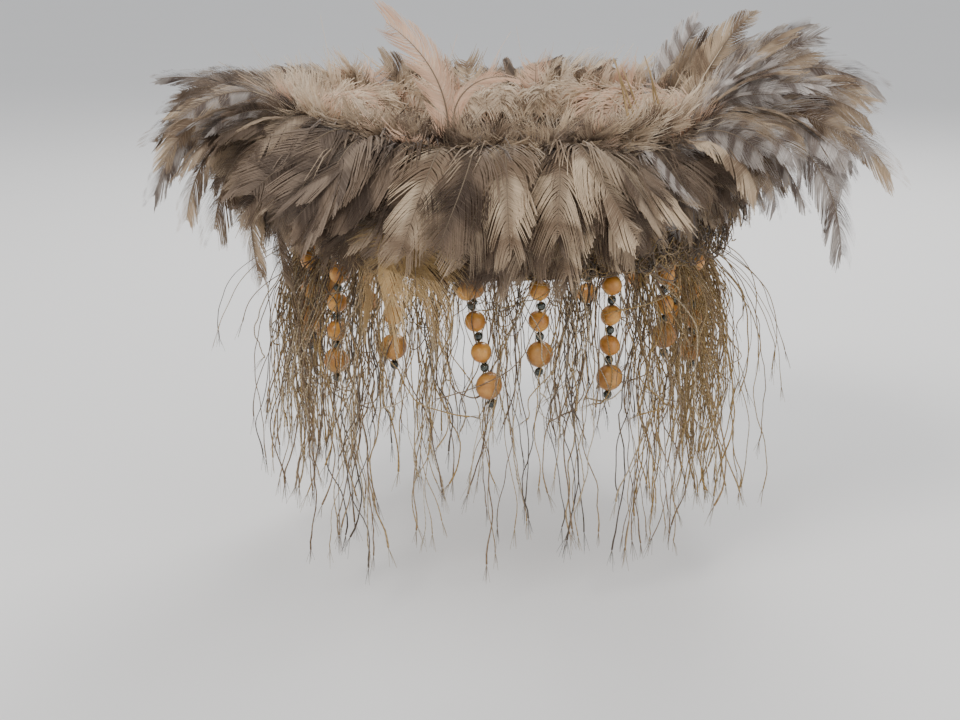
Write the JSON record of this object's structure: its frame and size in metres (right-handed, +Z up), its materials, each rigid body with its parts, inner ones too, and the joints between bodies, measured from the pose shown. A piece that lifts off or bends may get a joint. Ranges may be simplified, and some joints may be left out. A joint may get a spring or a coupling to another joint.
{
  "type": "feather boa",
  "caption": "Feather boa closed into a collar, with overlapping barred hackles, a thread fringe and hanging bead drops that swing.",
  "frame": {"origin": "on the ring's axis, in the plane of the band's lower edge: the centre of the neck that it is worn round", "axes": "+Z up along the ring's axis, from the fringe to the feathers; -Y is the front, where the bound heading dips; +X is the side of the larger fanned plume"},
  "size_m": [0.3053, 0.2312, 0.2183],
  "materials": {
    "ribbon": "matt woven grosgrain",
    "cotton_cord": "matt twisted cotton",
    "whipping_thread": "soft sheen thread",
    "fringe_yarn": "soft sheen crinkled rayon yarn",
    "feather": "soft barred hackle",
    "plume_feather": "soft pale barred hackle",
    "amber_bead": "satin honey amber resin"
  },
  "bodies": {
    "ring": {"backing_band": "ribbon", "quill_tape": "ribbon", "tape_lap": "ribbon", "fringe_braid": "fringe_yarn", "core_cord": "cotton_cord", "binding_thread": "whipping_thread", "feather_swag_01": "feather", "feather_swag_02": "feather", "feather_swag_03": "feather", "feather_swag_04": "feather", "feather_swag_05": "feather", "feather_swag_06": "feather", "feather_swag_07": "feather", "feather_swag_08": "feather", "feather_swag_09": "feather", "feather_swag_10": "feather", "feather_swag_11": "feather", "feather_swag_12": "feather", "plume_left_front": "plume_feather", "plume_left_back": "plume_feather", "plume_right_front": "plume_feather", "plume_right_back": "plume_feather", "plume_back": "plume_feather", "plume_upright": "plume_feather"},
    "bead_drop_01": {"bead_drop_01": "amber_bead"},
    "bead_drop_02": {"bead_drop_02": "amber_bead"},
    "bead_drop_03": {"bead_drop_03": "amber_bead"},
    "bead_drop_04": {"bead_drop_04": "amber_bead"},
    "bead_drop_05": {"bead_drop_05": "amber_bead"},
    "bead_drop_06": {"bead_drop_06": "amber_bead"},
    "bead_drop_07": {"bead_drop_07": "amber_bead"},
    "bead_drop_08": {"bead_drop_08": "amber_bead"},
    "bead_drop_09": {"bead_drop_09": "amber_bead"},
    "bead_drop_10": {"bead_drop_10": "amber_bead"},
    "bead_drop_11": {"bead_drop_11": "amber_bead"},
    "bead_drop_12": {"bead_drop_12": "amber_bead"},
    "bead_drop_13": {"bead_drop_13": "amber_bead"},
    "bead_drop_14": {"bead_drop_14": "amber_bead"},
    "bead_drop_15": {"bead_drop_15": "amber_bead"},
    "bead_drop_16": {"bead_drop_16": "amber_bead"},
    "bead_drop_17": {"bead_drop_17": "amber_bead"},
    "bead_drop_18": {"bead_drop_18": "amber_bead"},
    "fringe_bunch_01": {"fringe_bunch_01": "fringe_yarn"},
    "fringe_bunch_02": {"fringe_bunch_02": "fringe_yarn"},
    "fringe_bunch_03": {"fringe_bunch_03": "fringe_yarn"},
    "fringe_bunch_04": {"fringe_bunch_04": "fringe_yarn"},
    "fringe_bunch_05": {"fringe_bunch_05": "fringe_yarn"},
    "fringe_bunch_06": {"fringe_bunch_06": "fringe_yarn"},
    "fringe_bunch_07": {"fringe_bunch_07": "fringe_yarn"},
    "fringe_bunch_08": {"fringe_bunch_08": "fringe_yarn"},
    "fringe_bunch_09": {"fringe_bunch_09": "fringe_yarn"},
    "fringe_bunch_10": {"fringe_bunch_10": "fringe_yarn"},
    "fringe_bunch_11": {"fringe_bunch_11": "fringe_yarn"},
    "fringe_bunch_12": {"fringe_bunch_12": "fringe_yarn"},
    "fringe_bunch_13": {"fringe_bunch_13": "fringe_yarn"},
    "fringe_bunch_14": {"fringe_bunch_14": "fringe_yarn"},
    "fringe_bunch_15": {"fringe_bunch_15": "fringe_yarn"},
    "fringe_bunch_16": {"fringe_bunch_16": "fringe_yarn"},
    "fringe_bunch_17": {"fringe_bunch_17": "fringe_yarn"},
    "fringe_bunch_18": {"fringe_bunch_18": "fringe_yarn"}
  },
  "joints": [
    {"name": "bead_drop_01_swing", "type": "hinge", "parent": "ring", "child": "bead_drop_01", "pos_m": [0.0145, -0.08223, 0.0027], "axis": [-0.9848, -0.1736, 0], "range_deg": [-10, 45]},
    {"name": "bead_drop_02_swing", "type": "hinge", "parent": "ring", "child": "bead_drop_02", "pos_m": [0.04175, -0.07231, 0.0027], "axis": [-0.866, -0.5, 0], "range_deg": [-10, 45]},
    {"name": "bead_drop_03_swing", "type": "hinge", "parent": "ring", "child": "bead_drop_03", "pos_m": [0.06396, -0.05367, 0.0027], "axis": [-0.6428, -0.766, 0], "range_deg": [-10, 45]},
    {"name": "bead_drop_04_swing", "type": "hinge", "parent": "ring", "child": "bead_drop_04", "pos_m": [0.07846, -0.02856, 0.0027], "axis": [-0.342, -0.9397, 0], "range_deg": [-10, 45]},
    {"name": "bead_drop_05_swing", "type": "hinge", "parent": "ring", "child": "bead_drop_05", "pos_m": [0.0835, 0, 0.0027], "axis": [0, -1, 0], "range_deg": [-10, 45]},
    {"name": "bead_drop_06_swing", "type": "hinge", "parent": "ring", "child": "bead_drop_06", "pos_m": [0.07846, 0.02856, 0.0027], "axis": [0.342, -0.9397, 0], "range_deg": [-10, 45]},
    {"name": "bead_drop_07_swing", "type": "hinge", "parent": "ring", "child": "bead_drop_07", "pos_m": [0.06396, 0.05367, 0.0027], "axis": [0.6428, -0.766, 0], "range_deg": [-10, 45]},
    {"name": "bead_drop_08_swing", "type": "hinge", "parent": "ring", "child": "bead_drop_08", "pos_m": [0.04175, 0.07231, 0.0027], "axis": [0.866, -0.5, 0], "range_deg": [-10, 45]},
    {"name": "bead_drop_09_swing", "type": "hinge", "parent": "ring", "child": "bead_drop_09", "pos_m": [0.0145, 0.08223, 0.0027], "axis": [0.9848, -0.1736, 0], "range_deg": [-10, 45]},
    {"name": "bead_drop_10_swing", "type": "hinge", "parent": "ring", "child": "bead_drop_10", "pos_m": [-0.0145, 0.08223, 0.0027], "axis": [0.9848, 0.1736, 0], "range_deg": [-10, 45]},
    {"name": "bead_drop_11_swing", "type": "hinge", "parent": "ring", "child": "bead_drop_11", "pos_m": [-0.04175, 0.07231, 0.0027], "axis": [0.866, 0.5, 0], "range_deg": [-10, 45]},
    {"name": "bead_drop_12_swing", "type": "hinge", "parent": "ring", "child": "bead_drop_12", "pos_m": [-0.06396, 0.05367, 0.0027], "axis": [0.6428, 0.766, 0], "range_deg": [-10, 45]},
    {"name": "bead_drop_13_swing", "type": "hinge", "parent": "ring", "child": "bead_drop_13", "pos_m": [-0.07846, 0.02856, 0.0027], "axis": [0.342, 0.9397, 0], "range_deg": [-10, 45]},
    {"name": "bead_drop_14_swing", "type": "hinge", "parent": "ring", "child": "bead_drop_14", "pos_m": [-0.0835, 0, 0.0027], "axis": [0, 1, 0], "range_deg": [-10, 45]},
    {"name": "bead_drop_15_swing", "type": "hinge", "parent": "ring", "child": "bead_drop_15", "pos_m": [-0.07846, -0.02856, 0.0027], "axis": [-0.342, 0.9397, 0], "range_deg": [-10, 45]},
    {"name": "bead_drop_16_swing", "type": "hinge", "parent": "ring", "child": "bead_drop_16", "pos_m": [-0.06396, -0.05367, 0.0027], "axis": [-0.6428, 0.766, 0], "range_deg": [-10, 45]},
    {"name": "bead_drop_17_swing", "type": "hinge", "parent": "ring", "child": "bead_drop_17", "pos_m": [-0.04175, -0.07231, 0.0027], "axis": [-0.866, 0.5, 0], "range_deg": [-10, 45]},
    {"name": "bead_drop_18_swing", "type": "hinge", "parent": "ring", "child": "bead_drop_18", "pos_m": [-0.0145, -0.08223, 0.0027], "axis": [-0.9848, 0.1736, 0], "range_deg": [-10, 45]},
    {"name": "fringe_bunch_01_swing", "type": "hinge", "parent": "ring", "child": "fringe_bunch_01", "pos_m": [0, -0.0835, 0.0027], "axis": [-1, 0, 0], "range_deg": [-10, 45]},
    {"name": "fringe_bunch_02_swing", "type": "hinge", "parent": "ring", "child": "fringe_bunch_02", "pos_m": [0.02856, -0.07846, 0.0027], "axis": [-0.9397, -0.342, 0], "range_deg": [-10, 45]},
    {"name": "fringe_bunch_03_swing", "type": "hinge", "parent": "ring", "child": "fringe_bunch_03", "pos_m": [0.05367, -0.06396, 0.0027], "axis": [-0.766, -0.6428, 0], "range_deg": [-10, 45]},
    {"name": "fringe_bunch_04_swing", "type": "hinge", "parent": "ring", "child": "fringe_bunch_04", "pos_m": [0.07231, -0.04175, 0.0027], "axis": [-0.5, -0.866, 0], "range_deg": [-10, 45]},
    {"name": "fringe_bunch_05_swing", "type": "hinge", "parent": "ring", "child": "fringe_bunch_05", "pos_m": [0.08223, -0.0145, 0.0027], "axis": [-0.1736, -0.9848, 0], "range_deg": [-10, 45]},
    {"name": "fringe_bunch_06_swing", "type": "hinge", "parent": "ring", "child": "fringe_bunch_06", "pos_m": [0.08223, 0.0145, 0.0027], "axis": [0.1736, -0.9848, 0], "range_deg": [-10, 45]},
    {"name": "fringe_bunch_07_swing", "type": "hinge", "parent": "ring", "child": "fringe_bunch_07", "pos_m": [0.07231, 0.04175, 0.0027], "axis": [0.5, -0.866, 0], "range_deg": [-10, 45]},
    {"name": "fringe_bunch_08_swing", "type": "hinge", "parent": "ring", "child": "fringe_bunch_08", "pos_m": [0.05367, 0.06396, 0.0027], "axis": [0.766, -0.6428, 0], "range_deg": [-10, 45]},
    {"name": "fringe_bunch_09_swing", "type": "hinge", "parent": "ring", "child": "fringe_bunch_09", "pos_m": [0.02856, 0.07846, 0.0027], "axis": [0.9397, -0.342, 0], "range_deg": [-10, 45]},
    {"name": "fringe_bunch_10_swing", "type": "hinge", "parent": "ring", "child": "fringe_bunch_10", "pos_m": [0, 0.0835, 0.0027], "axis": [1, 0, 0], "range_deg": [-10, 45]},
    {"name": "fringe_bunch_11_swing", "type": "hinge", "parent": "ring", "child": "fringe_bunch_11", "pos_m": [-0.02856, 0.07846, 0.0027], "axis": [0.9397, 0.342, 0], "range_deg": [-10, 45]},
    {"name": "fringe_bunch_12_swing", "type": "hinge", "parent": "ring", "child": "fringe_bunch_12", "pos_m": [-0.05367, 0.06396, 0.0027], "axis": [0.766, 0.6428, 0], "range_deg": [-10, 45]},
    {"name": "fringe_bunch_13_swing", "type": "hinge", "parent": "ring", "child": "fringe_bunch_13", "pos_m": [-0.07231, 0.04175, 0.0027], "axis": [0.5, 0.866, 0], "range_deg": [-10, 45]},
    {"name": "fringe_bunch_14_swing", "type": "hinge", "parent": "ring", "child": "fringe_bunch_14", "pos_m": [-0.08223, 0.0145, 0.0027], "axis": [0.1736, 0.9848, 0], "range_deg": [-10, 45]},
    {"name": "fringe_bunch_15_swing", "type": "hinge", "parent": "ring", "child": "fringe_bunch_15", "pos_m": [-0.08223, -0.0145, 0.0027], "axis": [-0.1736, 0.9848, 0], "range_deg": [-10, 45]},
    {"name": "fringe_bunch_16_swing", "type": "hinge", "parent": "ring", "child": "fringe_bunch_16", "pos_m": [-0.07231, -0.04175, 0.0027], "axis": [-0.5, 0.866, 0], "range_deg": [-10, 45]},
    {"name": "fringe_bunch_17_swing", "type": "hinge", "parent": "ring", "child": "fringe_bunch_17", "pos_m": [-0.05367, -0.06396, 0.0027], "axis": [-0.766, 0.6428, 0], "range_deg": [-10, 45]},
    {"name": "fringe_bunch_18_swing", "type": "hinge", "parent": "ring", "child": "fringe_bunch_18", "pos_m": [-0.02856, -0.07846, 0.0027], "axis": [-0.9397, 0.342, 0], "range_deg": [-10, 45]}
  ]
}
